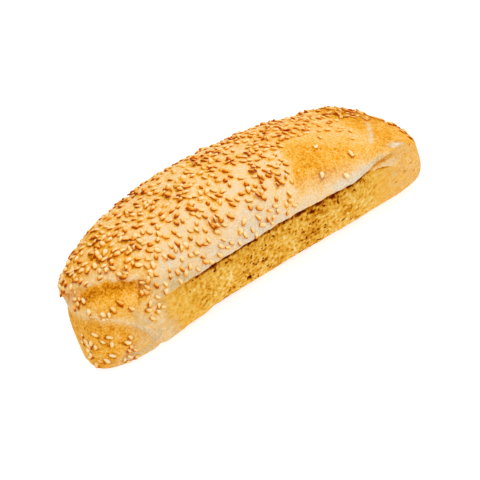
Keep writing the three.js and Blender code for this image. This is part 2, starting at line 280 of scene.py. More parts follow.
def field(points, size, stream):
    """Random field from -1 to 1: draws at the corners of cubes of that size, blended by smooth steps."""
    place = points / size
    cube = np.floor(place)
    blend = smooth((0, 1), place - cube)
    total = np.zeros(points.shape[:-1])
    for step in itertools.product((0, 1), repeat=3):
        weight = np.prod(np.where(np.array(step) == 1, blend, 1 - blend), axis=-1)
        total += weight * draw((cube + step) @ CORNER_KEYS, stream)
    return 2 * total - 1


def cloud(points, size, stream):
    """Mean of random fields, each half the size and half the weight of the one before."""
    layers = range(CLOUD_LAYERS)
    total = sum(field(points, size / 2 ** k, stream + k) / 2 ** k for k in layers)
    return total / sum(1 / 2 ** k for k in layers)


def pores(points, size, share, stream):
    """Depth from 0 to 1 of round pores: that share of the cubes of that size hold one each.

    Three draws give a pore's place, one its radius and one whether it is there, and its depth
    is 1 - (distance / radius)².
    """
    place = points / size
    cube = np.floor(place)
    depth = np.zeros(points.shape[:-1])
    for step in itertools.product((-1, 0, 1), repeat=3):
        key = (cube + step) @ CORNER_KEYS
        *centre, radius_draw, held_draw = (draw(key, stream + k) for k in range(PORE_DRAWS))
        radius = PORE_RADIUS[0] + (PORE_RADIUS[1] - PORE_RADIUS[0]) * radius_draw
        distance = np.linalg.norm(place - cube - step - np.stack(centre, axis=-1), axis=-1)
        depth = np.maximum(depth, np.where(held_draw < share, 1 - (distance / radius) ** 2, 0))
    return depth


stations = station_at(np.linspace(-LAST_RING, LAST_RING, RINGS))
angles = np.concatenate([
    math.pi * np.linspace(start, end, steps, endpoint=False) for start, end, steps in ANGLE_STEPS
])
station_grid, angle_grid = np.meshgrid(stations, angles, indexing="ij")
smooth_skin = loaf_surface(station_grid, angle_grid)
x, y, z = np.moveaxis(smooth_skin, -1, 0)
signed_angle = np.where(angle_grid > UNDERSIDE_ANGLE, angle_grid - 2 * math.pi, angle_grid)


# Loaf, the torn band
# Under the lip the dough burst as it rose: a mustard-gold band of open crumb with
# dark pores, from near the folded end to a ragged tear below the lip at the far end.

# Unevenness of the dough, broad and fine, that makes all edges and colours ragged
DRIFT = {"size": 9.0, "stream": 10}
GRAIN = {"size": 2.4, "stream": 20}
TEAR = {"x": 47.0, "top": 28.2, "fall": 0.3, "raggedness": 0.8, "start": (45.0, 48.0), "edge": (0.4, -0.2)}
TEAR_EDGE = {"gap": -0.2, "below": 0.6, "above": 0.3}
TEAR_EDGE_X = (68.0, 60.0)
TEAR_EDGE_GRAIN = (-0.2, 0.3)
TORN_STRIP_X = (70.0, 60.0)
UNDER_LIP_ANGLE = (-0.005, -0.045)
ABOVE_FOOT_ANGLE = (-1.4, -0.95)
BAND_START = {"x": -61.0, "slant": 0.3, "raggedness": 9.0, "run": (-5.0, 6.0)}
BAND_END = {"raggedness": 5.0, "run": (68.0, 50.0)}
OPEN_START = (-50.0, -26.0)
OPEN_END = (58.0, 42.0)
LARGE_PORE = {"size": 3.9, "share": 0.12, "stream": 30, "depth": 1.0, "darkness": 1.5}
SMALL_PORE = {"size": 1.9, "share": 0.16, "stream": 40, "depth": 0.7, "darkness": 1.1}
CLOSED_CRUMB_PORES = 0.4
WARP = {"size": 1.6, "stream": 80, "reach": 0.7}
CRUMB_SQUEEZE = (0.75, 1.0, 1.0)
CRAGS = {"size": 3.6, "stream": 50}
FINE_CRAGS = {"size": 1.3, "stream": 90}
FINE_CRAG_SHARE = 0.7
CRAG_HEIGHT = 0.28
FOOT_LINE_Z = (2.2, 0.4)
# Painted shade under the lip's overhang: a thin dark line just below its edge, and a darker zone below it
LIP_SHADOW_LINE = {"start": (-50.0, -36.0), "end": (68.0, 60.0), "angle": (-0.155, -0.115)}
LIP_SHADE = {"start": (-46.0, -30.0), "end": (60.0, 48.0), "angle": (-0.4, -0.1)}
MIDDLE_START = (0.0, 16.0)
MIDDLE_END = (52.0, 36.0)
CRUMB_TONE = {"even": 0.57, "crags": 0.16, "open_crags": 0.12, "lip_shade": -0.1, "shaded_grain": -0.3}
TONE_BY_PLACE = {"middle": -0.05, "drift": 0.12, "lip_shadow_line": -0.36, "foot_line": -0.26, "tear_edge": -0.5}
PITTING = {"least": 0.12, "open_crumb": 0.42, "run": (-0.15, 0.35), "lip_shade": 0.25}
PIT_DRIFT = {"size": 12.0, "stream": 120}


def belt(gap, place):
    """Bell about a height of its own, given the gap over a line."""
    return bell(gap - place["gap"], place["below"], place["above"])


def stretch(place):
    """Steps along the loaf where a stretch starts and ends, times a step by the angle."""
    return smooth(place["start"], x) * smooth(place["end"], x) * smooth(place["angle"], signed_angle)


def weighed(weights, areas):
    """Sum of the areas, each times its weight."""
    return sum(weights[name] * area for name, area in areas.items())


drift = cloud(smooth_skin, **DRIFT)
grain = cloud(smooth_skin, **GRAIN)
under_lip = smooth(UNDER_LIP_ANGLE, signed_angle)
above_foot = smooth(ABOVE_FOOT_ANGLE, signed_angle)
tear_gap = z - TEAR["top"] + TEAR["fall"] * np.maximum(x - TEAR["x"], 0) - TEAR["raggedness"] * grain
past_tear = smooth(TEAR["start"], x)
below_tear = smooth(TEAR["edge"], tear_gap)
tear_edge = past_tear * belt(tear_gap, TEAR_EDGE) * smooth(TEAR_EDGE_X, x) * under_lip
tear_edge = tear_edge * smooth(TEAR_EDGE_GRAIN, grain)
torn_strip = past_tear * smooth(TORN_STRIP_X, x) * under_lip * (1 - below_tear)

band_start = x - BAND_START["x"] - BAND_START["slant"] * (LIP_HEIGHT - z) + BAND_START["raggedness"] * drift
band_end = x + BAND_END["raggedness"] * drift
band_reach = smooth(BAND_START["run"], band_start) * smooth(BAND_END["run"], band_end)
crumb = under_lip * above_foot * band_reach * (1 - past_tear * (1 - below_tear))
open_crumb = smooth(OPEN_START, x) * smooth(OPEN_END, x)

warp = np.stack([field(smooth_skin, WARP["size"], WARP["stream"] + way) for way in range(3)], axis=-1)
warped = (smooth_skin + WARP["reach"] * warp) * CRUMB_SQUEEZE
pore_share = crumb * (CLOSED_CRUMB_PORES + (1 - CLOSED_CRUMB_PORES) * open_crumb)
pore_depths = [
    (kind, pores(warped, kind["size"], kind["share"], kind["stream"]) * pore_share)
    for kind in (LARGE_PORE, SMALL_PORE)
]
crags = cloud(warped, **CRAGS) + FINE_CRAG_SHARE * cloud(smooth_skin, **FINE_CRAGS)
crumb_relief = crumb * CRAG_HEIGHT * crags - sum(kind["depth"] * depth for kind, depth in pore_depths)
# The pores' colour darkens with their depth: painted shade inside them
pore = np.clip(sum(kind["darkness"] * depth for kind, depth in pore_depths), 0, 1)

# Painted shade under the lip: the crumb is darker in a thin line just below its edge and in a zone below that
lip_shadow_line = stretch(LIP_SHADOW_LINE)
lip_shade = stretch(LIP_SHADE)
foot_line = smooth(FOOT_LINE_Z, z)
# Painted light and shade: the crumb's tone follows the crags' relief, paler on the ridges and darker in the
# hollows
crag_light_and_shade = (CRUMB_TONE["crags"] + CRUMB_TONE["open_crags"] * open_crumb) * crags
shade_tone = (CRUMB_TONE["lip_shade"] + CRUMB_TONE["shaded_grain"] * np.maximum(grain, 0)) * lip_shade
crumb_tone = CRUMB_TONE["even"] + crag_light_and_shade + shade_tone + weighed(TONE_BY_PLACE, {
    "middle": smooth(MIDDLE_START, x) * smooth(MIDDLE_END, x),
    "drift": drift,
    "lip_shadow_line": lip_shadow_line,
    "foot_line": foot_line,
    "tear_edge": tear_edge,
})
pit_drift = cloud(smooth_skin, **PIT_DRIFT) + PITTING["lip_shade"] * lip_shade
pitting = PITTING["least"] + PITTING["open_crumb"] * open_crumb * smooth(PITTING["run"], pit_drift)


# Loaf, the crust's relief
# Baked crust is never quite smooth: low swells, a fine pebbling, and a ledge of
# torn skin over the crumb at the far end. The base lay flat on the sheet.

SWELLS = {"size": 13.0, "stream": 60}
SWELL_HEIGHT = 0.22
PEBBLES = {"size": 1.4, "stream": 70}
PEBBLE_HEIGHT = 0.14
LEDGE_HEIGHT = 0.7
LEDGE_X = (72.0, 60.0)
LEDGE_EDGE = (-0.5, 0.3)
SETTLED_Z = (0.02, 1.5)
crust_relief = SWELL_HEIGHT * cloud(smooth_skin, **SWELLS) + PEBBLE_HEIGHT * cloud(smooth_skin, **PEBBLES)
ledge = LEDGE_HEIGHT * past_tear * smooth(LEDGE_X, x) * under_lip * smooth(LEDGE_EDGE, tear_gap)
relief = (crust_relief * (1 - crumb) + crumb_relief + ledge) * smooth(SETTLED_Z, z)
skin = smooth_skin + outward(smooth_skin) * relief[..., None]
skin[..., 2] = np.maximum(skin[..., 2], 0)


# Loaf, the folded end and the bare shoulder
# The dough was folded in at the near end, so a tip hangs over two lobes, with pale ridges
# and darker hollows, partly browned and partly painted shade. The far shoulder lost its
# flour and baked to orange.

DOME_FRONT = (-0.03, 0.03)
DOME_BACK = (math.pi + 0.1, math.pi - 0.1)
IN_FOLDS_X = (-54.0, -64.0)
ABOVE_FOLD = {"gap": 5.0, "below": 4.0, "above": 6.0}
UPPER_RIDGE = {"gap": 2.0, "below": 1.2, "above": 1.8}
LOWER_RIDGE = {"gap": 0.6, "below": 3.0, "above": 3.0}
UPPER_HOLLOW = {"gap": -1.4, "below": 2.6, "above": 1.4}
LOWER_HOLLOW = {"gap": -2.5, "below": 5.0, "above": 1.6}
BELOW_FOLD_GAP = (0.8, -1.2)
LOWER_LOBE_GAP = (0.0, -4.0)
TIP_FRONT_Y = (-15.0, -9.0)
TIP_BACK_Y = (6.0, 0.0)
TIP_PALE = {"front": (-13.0, -6.0), "back": (8.0, 2.0), "top": (1.0, -1.0), "bottom": (-7.0, -3.0)}
BARE_PATCH = {
    "start": (6.0, 10.5), "slant": 9.0, "start_raggedness": 1.5, "end": (74.0, 60.0),
    "front": (0.05, 0.6), "front_raggedness": 0.15, "back": (1.7, 0.8),
    "fading": 0.4, "fading_x": (26.0, 50.0), "unevenness": 0.15,
}
FAR_END_X = (56.0, 64.0)

on_dome = smooth(DOME_FRONT, signed_angle) * smooth(DOME_BACK, signed_angle)
upper_gap = z - fold_level(UPPER_FOLD, x, y)
lower_gap = z - fold_level(LOWER_FOLD, x, y)
in_folds = smooth(IN_FOLDS_X, x)
above_fold = in_folds * belt(upper_gap, ABOVE_FOLD)
below_fold = in_folds * smooth(BELOW_FOLD_GAP, upper_gap) * on_dome
upper_ridge = in_folds * belt(upper_gap, UPPER_RIDGE)
lower_ridge = in_folds * belt(lower_gap, LOWER_RIDGE)
lower_lobe = in_folds * smooth(LOWER_LOBE_GAP, lower_gap)
tip = smooth(TIP_FRONT_Y, y) * smooth(TIP_BACK_Y, y)
tip_pale = in_folds * smooth(TIP_PALE["front"], y) * smooth(TIP_PALE["back"], y)
tip_pale = tip_pale * smooth(TIP_PALE["top"], upper_gap) * smooth(TIP_PALE["bottom"], upper_gap)

patch_start = x - BARE_PATCH["slant"] * signed_angle + BARE_PATCH["start_raggedness"] * drift
patch_front = signed_angle + BARE_PATCH["front_raggedness"] * drift
patch_along = smooth(BARE_PATCH["start"], patch_start) * smooth(BARE_PATCH["end"], x)
patch_around = smooth(BARE_PATCH["front"], patch_front) * smooth(BARE_PATCH["back"], signed_angle)
patch_depth = 1 - BARE_PATCH["fading"] * smooth(BARE_PATCH["fading_x"], x) + BARE_PATCH["unevenness"] * drift
bare_patch = patch_along * patch_around * patch_depth
far_end = smooth(FAR_END_X, x)


# Loaf, its flour
# Flour from the baker's table stayed on the dough: thick along the lip and in drifts
# above it, thin on the folds' ridges, in the crease and at the foot of the ends.

# A dust has an even part, a part that follows the drift and one that follows the grain.
LIP_FLOUR = {"start": (-66.0, -52.0), "end": (62.0, 54.0), "angle": (0.62, 0.12)}
LIP_FLOUR_RAGGEDNESS = 0.3
LIP_FLOUR_NARROWING = 0.3
NARROWING_X = (6.0, 16.0)
LIP_DUST = (0.6, 1.8, 0.5)
FLOUR_DRIFTS = (
    {"x": -46.0, "angle": 0.52, "half_length": 8.0, "half_width": 0.2},
    {"x": -8.0, "angle": 0.42, "half_length": 8.0, "half_width": 0.17},
)
DRIFT_DUST = (0.5, 0.0, 0.8)
FAR_LIP = {"start": (22.0, 38.0), "end": (60.0, 52.0), "angle": (0.38, 0.12)}
FAR_LIP_DUST = (0.66, 0.7, 0.3)
NEAR_SIDE = {"start": (-74.0, -62.0), "end": (-46.0, -56.0), "angle": (0.25, -0.1)}
NEAR_LOW = {"run": (14.0, 3.0), "more": 0.5, "shift": 10.0}
NEAR_DUST = (0.66, 0.6, 0.8)
FAR_DUST_TOP = (0.1, -0.1)
FAR_DUST_FOOT = (-1.3, -0.5)
FAR_DUST = (0.26, 0.35, 0.4)
STREAK = {"x": 65.5, "half_length": 3.2, "angle": 0.31, "slope": -0.03, "half_width": 0.15}
CREASE_FLOUR = {"narrowing": 2.5, "angle": (0.75, 0.95), "grain": (-0.8, 0.2)}
BARE_DUST_ANGLE = (0.7, 0.3)
FLOUR_BY_PLACE = {
    "upper_ridge": 0.34, "lower_ridge": 0.3, "bare_patch": 0.3, "streak": 2.2, "torn_strip": 0.15,
    "crease": 0.8, "tip": 0.3,
}
RIDGE_WHITENESS = 0.6


def dust(even, by_drift, by_grain):
    """Share of flour: an even part plus parts of the drift and of the grain."""
    return even + by_drift * drift + by_grain * grain


def heap(place, slope=0.0):
    """Heap of flour: a bell along the loaf times a bell about an angle that changes along it."""
    along = x - place["x"]
    around = signed_angle - place["angle"] - slope * along
    lengthwise = bell(along, place["half_length"], place["half_length"])
    return lengthwise * bell(around, place["half_width"], place["half_width"])


flour_angle = signed_angle + LIP_FLOUR_RAGGEDNESS * drift + LIP_FLOUR_NARROWING * smooth(NARROWING_X, x)
lip_reach = smooth(LIP_FLOUR["start"], x) * smooth(LIP_FLOUR["end"], x)
lip_flour = lip_reach * on_dome * smooth(LIP_FLOUR["angle"], flour_angle) * dust(*LIP_DUST)
flour_drifts = sum(heap(place) for place in FLOUR_DRIFTS)
far_lip_flour = stretch(FAR_LIP) * on_dome * dust(*FAR_LIP_DUST)
near_low = smooth(NEAR_LOW["run"], z)
near_reach = smooth(NEAR_SIDE["start"], x + NEAR_LOW["shift"] * near_low) * smooth(NEAR_SIDE["end"], x)
near_side = near_reach * smooth(NEAR_SIDE["angle"], signed_angle) * above_foot
near_flour = near_side * (1 + NEAR_LOW["more"] * near_low) * dust(*NEAR_DUST)
far_face = far_end * smooth(FAR_DUST_TOP, signed_angle) * smooth(FAR_DUST_FOOT, signed_angle)
far_dust = far_face * np.maximum(dust(*FAR_DUST), 0)
streak = heap(STREAK, STREAK["slope"])
crease_line = crease_share(x, y, z) ** CREASE_FLOUR["narrowing"] * smooth(CREASE_FLOUR["grain"], grain)
crease_flour = crease_line * smooth(CREASE_FLOUR["angle"], signed_angle)
flour_by_place = weighed(FLOUR_BY_PLACE, {
    "upper_ridge": upper_ridge,
    "lower_ridge": lower_ridge,
    "bare_patch": bare_patch * smooth(BARE_DUST_ANGLE, signed_angle),
    "streak": streak,
    "torn_strip": torn_strip,
    "crease": crease_flour,
    "tip": tip_pale,
})
dusted = lip_flour + far_lip_flour + near_flour + far_dust + flour_drifts * dust(*DRIFT_DUST)
flour = np.clip(dusted + flour_by_place, 0, 1)
ridges = upper_ridge + lower_ridge + tip_pale
white_flour = np.clip(open_crumb + flour_drifts + crease_flour + streak + RIDGE_WHITENESS * ridges, 0, 1)


# Loaf, how far it is baked
# Browning runs from cream along the lip over peach and gold on the dome to orange on
# the bare far shoulder and brown in the folds and along the foot. In the folds' hollows
# and in a line under the lip, part of the darkening is painted shade.

GOLD_ANGLE = (0.9, 1.6)
FAR_CROWN_X = (0.0, 40.0)
NEAR_LOBES_X = (-60.0, -74.0)
NEAR_LOBES_RAGGEDNESS = 4.0
FRONT_X = (-20.0, 20.0)
BACK_X = (-62.0, -80.0)
UNDERSIDE_Z = (0.3, 0.0)
TIP_LIGHTENING = 0.7
FAR_SPOTS = {"size": 4.0, "share": 0.5, "stream": 110}
FAR_SPOTS_X = (58.0, 66.0)
FAR_SPOTS_ANGLE = (0.8, 0.4)
BAKE = {"dome": 0.21, "near_side": 0.38, "near_lobes": 0.16, "far_side": 0.54, "back": 0.5}
CROWN_BAKE = {"all": 0.12, "far": 0.06}
DOME_BAKE = {"above_fold": 0.26, "bare_patch": 0.46, "far_end": 0.36}
HOLLOW_BAKE_AND_SHADE = {"upper": 0.37, "lower": 0.08}
BAKE_BY_PLACE = {
    "lower_lobe": 0.09, "lower_ridge": -0.16, "far_spots": 0.45, "foot_line": 0.2, "underside": 0.05,
    "drift": 0.07, "grain": 0.05, "lip_groove_shadow": 0.5, "torn_strip": -0.2, "tear_edge": 0.5,
    "crease": -0.4,
}

crown_bake = CROWN_BAKE["all"] + CROWN_BAKE["far"] * smooth(FAR_CROWN_X, x)
dome_bake = BAKE["dome"] + crown_bake * smooth(GOLD_ANGLE, signed_angle) + weighed(DOME_BAKE, {
    "above_fold": above_fold,
    "bare_patch": bare_patch,
    "far_end": far_end * (1 - bare_patch),
})
near_bake = BAKE["near_side"] + BAKE["near_lobes"] * smooth(NEAR_LOBES_X, x + NEAR_LOBES_RAGGEDNESS * drift)
front_bake = near_bake + (BAKE["far_side"] - near_bake) * smooth(FRONT_X, x)
back_bake = BAKE["back"] + (near_bake - BAKE["back"]) * smooth(BACK_X, x)
side_bake = np.where(signed_angle < math.pi / 2, front_bake, back_bake)
# Painted shade with some browning: the hollows under the folds' edges are darkened
hollows = weighed(HOLLOW_BAKE_AND_SHADE, {
    "upper": belt(upper_gap, UPPER_HOLLOW),
    "lower": belt(lower_gap, LOWER_HOLLOW),
})
hollows = hollows * in_folds * (1 - TIP_LIGHTENING * tip)
far_front = smooth(FAR_SPOTS_X, x) * smooth(FAR_SPOTS_ANGLE, signed_angle)
bake_by_place = weighed(BAKE_BY_PLACE, {
    "lower_lobe": lower_lobe,
    "lower_ridge": lower_ridge,
    "far_spots": pores(smooth_skin, **FAR_SPOTS) * far_front,
    "foot_line": foot_line,
    "underside": smooth(UNDERSIDE_Z, z),
    "drift": drift,
    "grain": grain,
    # painted shadow line under the lip, along the torn strip
    "lip_groove_shadow": lip_shadow_line * torn_strip,
    "torn_strip": torn_strip,
    "tear_edge": tear_edge,
    "crease": crease_flour,
})
area_bake = dome_bake * on_dome * (1 - below_fold) + side_bake * (1 - on_dome) + near_bake * below_fold
bake = area_bake + hollows + bake_by_place


# Loaf, its mesh
# The rings of the skin are joined by four-sided faces. The narrow ring at each end of the
# crust is closed by a strip of triangles from its front side to its back side.

MM = 0.001


def ring_faces(rings, around):
    """Four-sided faces between neighbouring rings of a grid that is closed round each ring."""
    ring, step = np.meshgrid(np.arange(rings - 1) * around, np.arange(around), indexing="ij")
    after = (step + 1) % around
    quads = np.stack([ring + step, ring + around + step, ring + around + after, ring + after], axis=-1)
    return quads.reshape(-1, 4)


def closing_strip(heights):
    """Triangles across a narrow upright ring, given the heights of its corners in turn.

    Both sides are walked from the lowest corner to the highest one. Each edge of a side is
    joined to the corner of the other side that comes last below the edge's upper end. The two
    edges for which that corner is an end of their own are left out.
    """
    lowest = np.argmin(heights)
    highest = np.argmax(heights)
    front = np.arange(lowest, highest + len(heights) + 1) % len(heights)
    back = np.arange(lowest, highest - 1, -1)
    beside_front = back[np.searchsorted(heights[back], heights[front[1:]], "left") - 1]
    beside_back = front[np.searchsorted(heights[front], heights[back[1:]], "right") - 1]
    front_strip = np.stack([front[:-1], front[1:], beside_front], axis=-1)
    back_strip = np.stack([back[1:], back[:-1], beside_back], axis=-1)
    strip = np.concatenate([front_strip, back_strip])
    return strip[(strip[:, 2] != strip[:, 0]) & (strip[:, 2] != strip[:, 1])]


def add_piece(name, points, faces, material):
    """Smooth-shaded mesh object in metres from points in millimetres."""
    mesh = bpy.data.meshes.new(name)
    mesh.from_pydata((points * MM).tolist(), [], faces)
    mesh.polygons.foreach_set("use_smooth", np.ones(len(mesh.polygons), dtype=bool))
    mesh.materials.append(material)
    mesh.update()
    piece = bpy.data.objects.new(name, mesh)
    bpy.context.collection.objects.link(piece)
    return piece


def set_values(mesh, values):
    """Named values at the points of a mesh, for its material to read."""
    for name, value in values.items():
        layer = mesh.attributes.new(name, "FLOAT", "POINT")
        layer.data.foreach_set("value", value.ravel().astype(np.float32))


per_ring = len(angles)
near_strip = closing_strip(smooth_skin[0, :, 2])
far_strip = (RINGS - 1) * per_ring + closing_strip(smooth_skin[-1, :, 2])[:, ::-1]
loaf_faces = ring_faces(RINGS, per_ring).tolist() + near_strip.tolist() + far_strip.tolist()


# Loaf, its material
# Matt baked bread: a colour run from cream to brown by the browning and painted shade, dusted
# with flour, mustard crumb with dark pores and painted shade in the torn band, and a fine pebbled bump.

FULL_TONE = 255
SRGB = {"dark_end": 0.04045, "dark_slope": 12.92, "offset": 0.055, "power": 2.4}
MIDDLE_OF_NOISE = 0.5
DOT_EDGE = 3.0
DOT_WANDER = 1.3
# Sockets of the mix node for colours, by number because several share a name
MIX_SHARE = 0
MIX_FIRST = 6
MIX_SECOND = 7
MIX_RESULT = 2


def shown(red, green, blue):
    """Linear colour of a shown colour given in 0 to 255, by the screen's standard curve."""
    value = np.array([red, green, blue]) / FULL_TONE
    light = ((value + SRGB["offset"]) / (1 + SRGB["offset"])) ** SRGB["power"]
    linear = np.where(value <= SRGB["dark_end"], value / SRGB["dark_slope"], light)
    return (*linear.tolist(), 1.0)


def new_material(name, roughness, specular):
    """Material with its shader's steady values set, its node tree and its shader."""
    material = bpy.data.materials.new(name)
    material.use_nodes = True
    shader = material.node_tree.nodes["Principled BSDF"]
    shader.inputs["Roughness"].default_value = roughness
    shader.inputs["Specular IOR Level"].default_value = specular
    return material, material.node_tree, shader


def add_node(tree, kind, settings, inputs):
    """Node of that kind with its settings, and its inputs linked to sockets or set to values."""
    node = tree.nodes.new(kind)
    for name, value in settings.items():
        setattr(node, name, value)
    for key, value in inputs.items():
        if isinstance(value, bpy.types.NodeSocket):
            tree.links.new(value, node.inputs[key])
        else:
            node.inputs[key].default_value = value
    return node


def attribute(tree, name):
    """Value of a point attribute of the piece."""
    return add_node(tree, "ShaderNodeAttribute", {"attribute_name": name}, {}).outputs["Fac"]


def combined(tree, operation, first, second, third=0.0, clamp=False):
    """Result of one arithmetic step on sockets or numbers."""
    settings = {"operation": operation, "use_clamp": clamp}
    return add_node(tree, "ShaderNodeMath", settings, {0: first, 1: second, 2: third}).outputs[0]


def noise(tree, size, detail):
    """Noise from about -0.5 to 0.5 on Object coordinates, with lumps of that size in millimetres."""
    place = add_node(tree, "ShaderNodeTexCoord", {}, {}).outputs["Object"]
    inputs = {"Vector": place, "Scale": 1 / (size * MM), "Detail": detail}
    texture = add_node(tree, "ShaderNodeTexNoise", {}, inputs)
    return combined(tree, "SUBTRACT", texture.outputs["Fac"], MIDDLE_OF_NOISE)


def mottled(tree, base, mottle, clamp=False):
    """A base value plus noise times a strength."""
    lumps = noise(tree, mottle["size"], mottle["detail"])
    return combined(tree, "MULTIPLY_ADD", lumps, mottle["strength"], base, clamp)


def dots(tree, size, share, radius):
    """Ragged dots: a share of the cells of that size in millimetres hold one, of that radius in cells."""
    place = add_node(tree, "ShaderNodeTexCoord", {}, {}).outputs["Object"]
    wander = add_node(tree, "ShaderNodeTexNoise", {}, {"Vector": place, "Scale": DOT_WANDER / (size * MM)})
    shifted = add_node(tree, "ShaderNodeVectorMath", {"operation": "MULTIPLY_ADD"}, {
        0: wander.outputs["Color"], 1: (size * MM,) * 3, 2: place,
    })
    cells = add_node(tree, "ShaderNodeTexVoronoi", {}, {
        "Vector": shifted.outputs[0], "Scale": 1 / (size * MM),
    })
    held = combined(tree, "LESS_THAN", cells.outputs["Color"], share)
    inside = combined(tree, "MULTIPLY_ADD", cells.outputs["Distance"], -DOT_EDGE / radius, DOT_EDGE, True)
    return combined(tree, "MULTIPLY", inside, held)


def specks(tree, speck, level):
    """Irregular specks from 0 to 1: noise, less a level, times a sharpness."""
    above = combined(tree, "SUBTRACT", noise(tree, speck["size"], speck["detail"]), level)
    return combined(tree, "MULTIPLY", above, speck["sharpness"], clamp=True)


def colour_run(tree, value, stops):
    """Colour found by a value along a run of (place, colour) stops."""
    node = add_node(tree, "ShaderNodeValToRGB", {}, {"Fac": value})
    run = node.color_ramp
    for place, _ in stops[1:-1]:
        run.elements.new(place)
    for element, (place, colour) in zip(run.elements, stops):
        element.position = place
        element.color = colour
    return node.outputs["Color"]


def mixed(tree, share, first, second):
    """Blend of two colours by a share."""
    inputs = {MIX_SHARE: share, MIX_FIRST: first, MIX_SECOND: second}
    return add_node(tree, "ShaderNodeMix", {"data_type": "RGBA"}, inputs).outputs[MIX_RESULT]


CRUST_RUN = (
    (0.0, shown(236, 214, 178)),
    (0.22, shown(255, 219, 168)),
    (0.42, shown(252, 199, 110)),
    (0.62, shown(251, 179, 56)),
    (0.8, shown(230, 148, 20)),
    (1.0, shown(182, 94, 0)),
)
CRUMB_RUN = (
    (0.0, shown(96, 24, 0)),
    (0.14, shown(150, 68, 0)),
    (0.28, shown(206, 128, 4)),
    (0.5, shown(238, 175, 54)),
    (0.72, shown(248, 199, 96)),
    (0.92, shown(253, 226, 160)),
)
FLOUR_COLOUR = shown(238, 223, 198)
FLOUR_SHADE = shown(214, 180, 118)
BREAD_ROUGHNESS = 0.8
BREAD_SHINE = 0.04
CRUST_MOTTLE = {"size": 2.6, "detail": 3.0, "strength": 0.55}
CRUST_SPECKLE = {"size": 0.8, "detail": 2.0, "strength": 1.0}
HALO_STRENGTH = 0.46
FLOUR_GRAIN = {"size": 0.7, "detail": 3.0, "strength": 3.6}
FLOUR_MOTTLE = {"size": 1.0, "detail": 3.0, "strength": 3.0}
PLAIN_FLOUR_SHADE = 0.85
WHITE_FLOUR_SHADE = -0.75
CRUMB_GRAIN = {"size": 1.6, "detail": 4.0}
CRUMB_GRAIN_STRENGTH = 0.9
OPEN_GRAIN_STRENGTH = 0.7
SPECK = {"size": 2.0, "detail": 3.0, "sharpness": 9.0}
SPECK_LEVEL = 0.17
OPEN_SPECK_LEVEL = -0.07
SPECK_TONE = -0.3
PIT_SIZE = 2.1
PIT_RADIUS = 0.32
PIT_TONE = -0.6
BREAD_GRAIN = {"size": 0.7, "detail": 3.0, "strength": 0.5}
FINE_BUMPS = {"size": 0.6, "detail": 3.0}
COARSE_BUMPS = {"size": 1.6, "detail": 2.0}
BUMP_STRENGTH = 0.8
BUMP_HEIGHT = 0.45

crust_material, tree, shader = new_material("baked_crust", BREAD_ROUGHNESS, BREAD_SHINE)
# Browning, darkened round each seed by the halo: a painted shadow over a faint browned ring
browning_and_seed_shadow = mottled(tree, mottled(tree, attribute(tree, "bake"), CRUST_MOTTLE), CRUST_SPECKLE)
browning_and_seed_shadow = combined(tree, "MULTIPLY_ADD", attribute(tree, "halo"), HALO_STRENGTH, browning_and_seed_shadow, True)
crust_colour = colour_run(tree, browning_and_seed_shadow, CRUST_RUN)
flour_grain = mottled(tree, 1.0, FLOUR_GRAIN)
flour_share = combined(tree, "MULTIPLY", attribute(tree, "flour"), flour_grain, clamp=True)
shade_level = combined(
    tree, "MULTIPLY_ADD", attribute(tree, "white_flour"), WHITE_FLOUR_SHADE, PLAIN_FLOUR_SHADE,
)
flour_colour = mixed(tree, mottled(tree, shade_level, FLOUR_MOTTLE, True), FLOUR_COLOUR, FLOUR_SHADE)
floured = mixed(tree, flour_share, crust_colour, flour_colour)

openness = attribute(tree, "open_crumb")
grain_strength = combined(tree, "MULTIPLY_ADD", openness, OPEN_GRAIN_STRENGTH, CRUMB_GRAIN_STRENGTH)
crumb_grain = mottled(tree, attribute(tree, "crumb_tone"), {**CRUMB_GRAIN, "strength": grain_strength})
speck_level = combined(tree, "MULTIPLY_ADD", openness, OPEN_SPECK_LEVEL, SPECK_LEVEL)
specked = combined(tree, "MULTIPLY_ADD", specks(tree, SPECK, speck_level), SPECK_TONE, crumb_grain)
# Fine pits as dark dots with no relief under them: painted shade of small pits
fine_pits = dots(tree, PIT_SIZE, attribute(tree, "pitting"), PIT_RADIUS)
pits = combined(tree, "ADD", attribute(tree, "pore"), fine_pits, clamp=True)
crumb_colour = colour_run(tree, combined(tree, "MULTIPLY_ADD", pits, PIT_TONE, specked, True), CRUMB_RUN)

bread_colour = mixed(tree, attribute(tree, "crumb"), floured, crumb_colour)
bread_grain = mottled(tree, 1.0, BREAD_GRAIN)
grained = add_node(
    tree, "ShaderNodeVectorMath", {"operation": "SCALE"}, {0: bread_colour, "Scale": bread_grain},
)
tree.links.new(grained.outputs[0], shader.inputs["Base Color"])
bumps = combined(tree, "ADD", noise(tree, **FINE_BUMPS), noise(tree, **COARSE_BUMPS))
bump = add_node(tree, "ShaderNodeBump", {}, {
    "Height": bumps, "Strength": BUMP_STRENGTH, "Distance": BUMP_HEIGHT * MM,
})
tree.links.new(bump.outputs["Normal"], shader.inputs["Normal"])

loaf = add_piece("loaf", skin.reshape(-1, 3), loaf_faces, crust_material)
set_values(loaf.data, {
    "bake": bake,
    "flour": flour,
    "white_flour": white_flour,
    "crumb": crumb,
    "crumb_tone": crumb_tone,
    "open_crumb": open_crumb,
    "pore": pore,
    "pitting": pitting,
})
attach(loaf, "root")
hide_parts("bun")


# Sesame seeds, their places
# Hulled sesame strewn on the damp dough and baked on: thick over the crown, thin by the
# lip, in rows on the lobes, a few strays on the bare shoulder, and clumps here and there.

# The first seeds lie evenly and well apart, and loose ones fill in between them
FIRST_SEEDS = 150
FIRST_SPACING = 4.4
EVEN_CANDIDATES = 1200
LOOSE_CANDIDATES = 3600
LOOSE_SPACING = 2.1
ALONG_STEP = 0.7548776662
AROUND_STEP = 0.569840291
SEED_REACH = 0.985
SEED_ANGLES = (-0.85, math.pi + 0.65)
